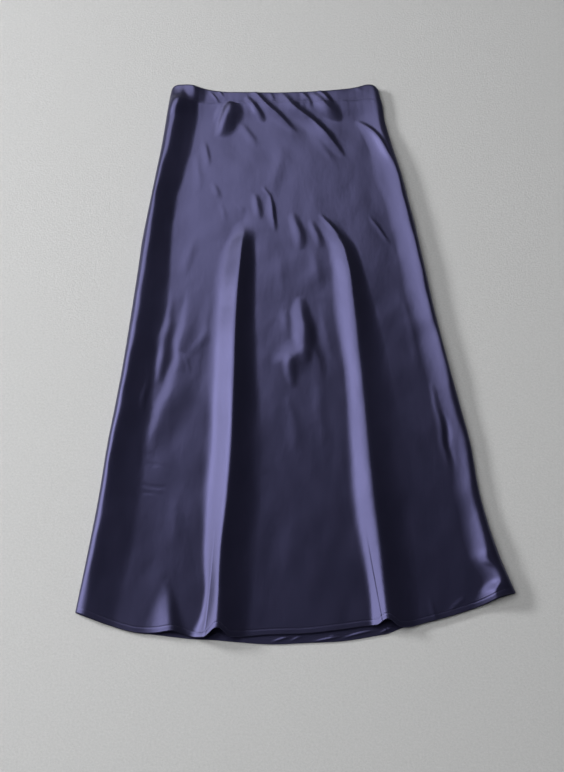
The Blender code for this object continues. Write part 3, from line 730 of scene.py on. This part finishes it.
def crumpled(points):
    """The upper side of the back's hem, with its crumples and the ends of its seams."""
    x, y = points[..., 0], points[..., 1]
    for crease in BACK_CREASES:
        points[..., 2] += crease_height(x, y, crease)
    for seam, out in (("seam_left", -BACK_SEAM_OUT), ("seam_right", BACK_SEAM_OUT)):
        points[..., 2] -= STITCH_DIP * bell((x - SECTION[seam](y) - out) / SEAM_DIP_WIDTH)
    return points


def unit(vectors):
    """The same directions with length 1."""
    return vectors / np.linalg.norm(vectors, axis=-1, keepdims=True)


def unit_normals(surface, u, f, side):
    """The surface's unit normals, out of the cloth."""
    end = len(side.lines) - 1
    ahead, behind = np.minimum(u + PROBE, end), np.maximum(u - PROBE, 0.0)
    below, over = np.minimum(f + PROBE, 1.0), np.maximum(f - PROBE, 0.0)
    across = surface(ahead, f) - surface(behind, f)
    down = surface(u, below) - surface(u, over)
    return unit(np.cross(down, across)) * side.facing


# ---------------------------------------------------------------- meshes
def column_places(first, last, side):
    """Columns between two named lines, crowded towards ridges, crests and seams."""
    start, stop = side.lines.index(first), side.lines.index(last)
    sharp = [not line.endswith(("foot", "tail", "edge")) for line in side.lines]
    columns = [float(start)]
    for i in range(start, stop):
        for k in range(1, side.columns[i] + 1):
            q = k / side.columns[i]
            if sharp[i] and sharp[i + 1]:
                q = q * q * (3 - 2 * q)
            elif sharp[i]:
                q = q ** CROWDING
            elif sharp[i + 1]:
                q = 1 - (1 - q) ** CROWDING
            columns.append(i + q)
    return np.array(columns)


def border_ring(deep, wide):
    """Indices round the border of a grid, in order."""
    right = np.arange(1, deep) * wide + wide - 1
    bottom = (deep - 1) * wide + np.arange(wide - 2, -1, -1)
    left = np.arange(deep - 2, 0, -1) * wide
    return np.concatenate([np.arange(wide), right, bottom, left])


def wall_faces(deep, wide, facing):
    """Faces of two grids, one behind the other, and of the rim between them."""
    row, column = np.meshgrid(np.arange(deep - 1), np.arange(wide - 1), indexing="ij")
    corner = (row * wide + column).ravel()
    quads = np.stack([corner, corner + wide, corner + wide + 1, corner + 1], axis=1)
    count = deep * wide
    border = border_ring(deep, wide)
    ahead = np.roll(border, -1)
    rim = np.stack([border, ahead, ahead + count, border + count], axis=1)
    faces = np.concatenate([quads, quads[:, ::-1] + count, rim])
    return faces if facing > 0 else faces[:, ::-1]


def add_mesh(name, points, faces, material, warp=None):
    """A smooth mesh object with one material; warp holds the cloth's own coordinates."""
    mesh = bpy.data.meshes.new(name)
    mesh.from_pydata(((points - MIDDLE) * MM).tolist(), [], faces.tolist())
    if warp is not None:
        layer = mesh.uv_layers.new(name="warp")
        corners = np.empty(len(mesh.loops), np.int32)
        mesh.loops.foreach_get("vertex_index", corners)
        layer.data.foreach_set("uv", warp[corners].astype(np.float32).ravel())
    mesh.materials.append(material)
    mesh.shade_smooth()
    mesh.set_sharp_from_angle(angle=radians(SHARP_ANGLE))
    thing = bpy.data.objects.new(name, mesh)
    bpy.context.scene.collection.objects.link(thing)
    return thing


def cloth_piece(piece, material):
    """A closed wall of cloth: its outer side, the same points moved in, and a rim."""
    columns = column_places(piece.first, piece.last, piece.side)
    u, f = np.meshgrid(columns, np.linspace(0.0, 1.0, piece.rows + 1))
    outer = piece.surface(u, f)
    inner = outer - unit_normals(piece.surface, u, f, piece.side) * piece.wall
    if piece.inside is not None:
        inner = piece.inside(inner)
    points = np.concatenate([outer.reshape(-1, 3), inner.reshape(-1, 3)])
    faces = wall_faces(*u.shape, piece.side.facing)
    thing = add_mesh(piece.node + "_cloth", points, faces, material, points[:, :2] * MM)
    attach(thing, "root")
    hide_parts(piece.node)
    return thing


def stitch_row(name, path, normal, material):
    """Topstitches along a path: each one a short spindle of thread half sunk in the cloth."""
    step = np.linalg.norm(np.diff(path, axis=0), axis=1)
    run = np.concatenate([[0.0], np.cumsum(step)])
    middles = np.arange(STITCH_PITCH, run[-1] - STITCH_PITCH, STITCH_PITCH)
    at = np.stack([np.interp(middles, run, path[:, k]) for k in range(3)], axis=1)
    next_at = middles + STITCH_AHEAD
    ahead = np.stack([np.interp(next_at, run, path[:, k]) for k in range(3)], axis=1)
    up = unit(np.stack([np.interp(middles, run, normal[:, k]) for k in range(3)], axis=1))
    along = unit(ahead - at)
    across = unit(np.cross(up, along))
    # Each stitch has a tip, two rings of four points and another tip
    points, faces = [], []
    for centre, a, s, n in zip(at, along, across, up):
        first = len(points)
        sunk = n * STITCH_THICK * STITCH_SINK
        points.append(centre - a * STITCH_LENGTH / 2 - sunk)
        for shift in (-STITCH_BODY, STITCH_BODY):
            for quarter in range(4):
                out = s * cos(quarter * pi / 2) + n * sin(quarter * pi / 2)
                points.append(centre + a * STITCH_LENGTH * shift + out * STITCH_THICK / 2)
        points.append(centre + a * STITCH_LENGTH / 2 - sunk)
        for c in range(4):
            d = (c + 1) % 4
            faces.append((first, first + 1 + d, first + 1 + c))
            faces.append((first + 1 + c, first + 1 + d, first + 5 + d))
            faces.append((first + 1 + c, first + 5 + d, first + 5 + c))
            faces.append((first + 9, first + 5 + c, first + 5 + d))
    return add_mesh(name, np.array(points), np.array(faces), material)


# ---------------------------------------------------------------- materials
def set_inputs(node, values):
    """Give a shader node these values at its named inputs."""
    for name, value in values.items():
        node.inputs[name].default_value = value


def new_material(name, values):
    """A material and its shader, with these values at the shader's inputs."""
    material = bpy.data.materials.new(name)
    material.use_nodes = True
    shader = material.node_tree.nodes["Principled BSDF"]
    set_inputs(shader, values)
    return material, shader


def add_texture(tree, kind, values, scale=None):
    """A texture in the object's coordinates, scaled along each axis where that is given."""
    coordinates = tree.nodes.new("ShaderNodeTexCoord").outputs["Object"]
    if scale is not None:
        mapping = tree.nodes.new("ShaderNodeMapping")
        set_inputs(mapping, {"Scale": scale})
        tree.links.new(coordinates, mapping.inputs["Vector"])
        coordinates = mapping.outputs["Vector"]
    texture = tree.nodes.new(kind)
    set_inputs(texture, values)
    tree.links.new(coordinates, texture.inputs["Vector"])
    return texture


def add_colours(tree, texture, shader, dark, light, span=(0.0, 1.0)):
    """Colour the shader from dark to light where the texture's value crosses a span."""
    ramp = tree.nodes.new("ShaderNodeValToRGB")
    for stop, position, colour in zip(ramp.color_ramp.elements, span, (dark, light)):
        stop.position = position
        stop.color = colour
    tree.links.new(texture.outputs["Fac"], ramp.inputs["Fac"])
    tree.links.new(ramp.outputs["Color"], shader.inputs["Base Color"])


def add_bump(tree, texture, bump, under=None):
    """The normal that a texture's relief gives, on top of another one where that is given."""
    node = tree.nodes.new("ShaderNodeBump")
    set_inputs(node, {"Strength": bump.strength, "Distance": bump.height})
    tree.links.new(texture.outputs["Fac"], node.inputs["Height"])
    if under is not None:
        tree.links.new(under, node.inputs["Normal"])
    return node.outputs["Normal"]


def satin(name, look):
    """Heavy glossy satin: violet-blue gloss over a dark navy, with weave and soft mottling."""
    material, shader = new_material(name, SATIN_SHADER | {"Roughness": look.roughness})
    tree = material.node_tree
    tangent = tree.nodes.new("ShaderNodeTangent")
    tangent.direction_type = "UV_MAP"
    tangent.uv_map = "warp"
    tree.links.new(tangent.outputs["Tangent"], shader.inputs["Tangent"])
    mottle = add_texture(tree, "ShaderNodeTexNoise", MOTTLE, MOTTLE_STRETCH)
    weave = add_texture(tree, "ShaderNodeTexNoise", WEAVE, WEAVE_STRETCH)
    add_colours(tree, mottle, shader, look.dark, look.light, MOTTLE_SPAN)
    soft = add_bump(tree, mottle, MOTTLE_BUMP)
    tree.links.new(add_bump(tree, weave, WEAVE_BUMP, under=soft), shader.inputs["Normal"])
    return material


def thread_material():
    """Polyester sewing thread, a shade lighter than the satin."""
    material, shader = new_material("thread", THREAD_SHADER)
    tree = material.node_tree
    twist = add_texture(tree, "ShaderNodeTexWave", THREAD_TWIST)
    twist.bands_direction = "DIAGONAL"
    add_colours(tree, twist, shader, THREAD_DARK, THREAD_LIGHT)
    return material


def floor_material():
    """Pale grey plaster with a fine tooth."""
    material, shader = new_material("floor", FLOOR_SHADER)
    tree = material.node_tree
    tooth = add_texture(tree, "ShaderNodeTexNoise", FLOOR_TOOTH)
    add_colours(tree, tooth, shader, FLOOR_DARK, FLOOR_LIGHT, FLOOR_SPAN)
    tree.links.new(add_bump(tree, tooth, FLOOR_BUMP), shader.inputs["Normal"])
    return material


# ---------------------------------------------------------------- surroundings
def add_floor():
    """A wide floor, a hair below the skirt."""
    half = FLOOR_WIDTH / 2
    corners = [(-half, -half), (half, -half), (half, half), (-half, half)]
    mesh = bpy.data.meshes.new("floor")
    mesh.from_pydata([(x, y, FLOOR_DROP) for x, y in corners], [], [(0, 1, 2, 3)])
    mesh.materials.append(floor_material())
    floor = bpy.data.objects.new("floor", mesh)
    bpy.context.scene.collection.objects.link(floor)
    return floor


def add_lamp(name, lamp):
    """A soft rectangular lamp aimed at the skirt, for gloss or for all that is dull."""
    data = bpy.data.lights.new(name, "AREA")
    data.shape = "RECTANGLE"
    data.size, data.size_y = lamp.size
    data.energy = lamp.power
    thing = bpy.data.objects.new(name, data)
    thing.location = lamp.place
    thing.rotation_euler = (-Vector(lamp.place)).to_track_quat("-Z", "Y").to_euler()
    thing.visible_glossy = lamp.mirrored
    thing.visible_diffuse = not lamp.mirrored
    bpy.context.scene.collection.objects.link(thing)
    return thing


def light_room():
    """A weak, even light from all round."""
    world = bpy.data.worlds.new("room")
    world.use_nodes = True
    background = world.node_tree.nodes["Background"]
    set_inputs(background, {"Color": (1.0, 1.0, 1.0, 1.0), "Strength": ROOM_LIGHT})
    bpy.context.scene.world = world


def add_camera():
    """The photo's camera, which looks at the skirt over its hem."""
    data = bpy.data.cameras.new("camera")
    data.sensor_width = CAMERA_SENSOR
    data.lens = CAMERA_LENS
    data.clip_start = CAMERA_NEAR
    camera = bpy.data.objects.new("camera", data)
    tilt = radians(CAMERA_ELEVATION)
    camera.location = CAMERA_AIM + CAMERA_DISTANCE * Vector((0.0, -cos(tilt), sin(tilt)))
    camera.rotation_euler = (pi / 2 - tilt, 0.0, 0.0)
    bpy.context.scene.collection.objects.link(camera)
    bpy.context.scene.camera = camera
    bpy.context.scene.view_settings.view_transform = "Standard"
    bpy.context.scene.view_settings.look = "None"


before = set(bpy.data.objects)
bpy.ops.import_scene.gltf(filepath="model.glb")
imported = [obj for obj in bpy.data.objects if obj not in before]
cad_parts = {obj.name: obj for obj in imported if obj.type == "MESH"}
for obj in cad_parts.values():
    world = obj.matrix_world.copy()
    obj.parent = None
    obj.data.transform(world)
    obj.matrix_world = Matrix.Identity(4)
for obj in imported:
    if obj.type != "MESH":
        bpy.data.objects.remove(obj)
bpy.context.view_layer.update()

# ---------------------------------------------------------------- cloth
satins = {slot: satin(slot, look) for slot, look in SATINS.items()}
thread = thread_material()

front_seam, back_seam = hem_seam(front_edge), hem_seam(back_edge)
gore_front = front_surface(waist_seam, front_seam, CLOTH)
gore_back = back_surface(waist_seam, back_seam)
hem_front = front_surface(front_seam, front_edge, HEM_CLOTH, HEM_PROUD, hem_finish)
hem_back = back_surface(back_seam, back_edge)
band_front = front_surface(waist_top, waist_seam, BAND_CLOTH, BAND_PROUD, band_finish)
band_back = back_surface(waist_top, waist_seam)

# Each piece, with the named lines that it lies between, and a finish of its inner side
Piece = namedtuple("Piece", "node slot side surface first last rows wall inside", defaults=[None])
WHOLE = ("left_edge", "right_edge")
pieces = []
for name, first, last in PANELS:
    pieces.append(Piece("front_" + name, "satin_front", FRONT, gore_front, first, last,
                        FRONT_ROWS, CLOTH))
    pieces.append(Piece("back_" + name, "satin_back", BACK, gore_back, first, last,
                        BACK_ROWS, CLOTH))
pieces += [
    Piece("hem_front", "satin_hem", FRONT, hem_front, *WHOLE, HEM_ROWS, HEM_CLOTH),
    Piece("hem_back", "satin_hem", BACK, hem_back, *WHOLE, HEM_ROWS, HEM_CLOTH, crumpled),
    Piece("waistband_front", "satin_band", FRONT, band_front, *WHOLE, BAND_ROWS, BAND_CLOTH),
    Piece("waistband_back", "satin_band", BACK, band_back, *WHOLE, BAND_ROWS, BAND_CLOTH),
]
by_node = {piece.node: piece for piece in pieces}
cloth = {node: cloth_piece(piece, satins[piece.slot]) for node, piece in by_node.items()}

# ---------------------------------------------------------------- topstitches
for row in STITCH_ROWS:
    piece = by_node[row.node]
    last_line = len(piece.side.lines) - 1
    u, f = np.meshgrid(np.linspace(STITCH_START, last_line - STITCH_START, STITCH_PATH), row.down)
    path = piece.surface(u, f)[0]
    normal = unit_normals(piece.surface, u, f, piece.side)[0]
    stitches = stitch_row(row.name, path + normal * piece.side.stitch_rise, normal, thread)
    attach(stitches, "root")

# ---------------------------------------------------------------- floor, light and camera
floor = add_floor()
key, top, window, fill = [add_lamp(name, lamp) for name, lamp in LAMPS.items()]
light_room()
add_camera()
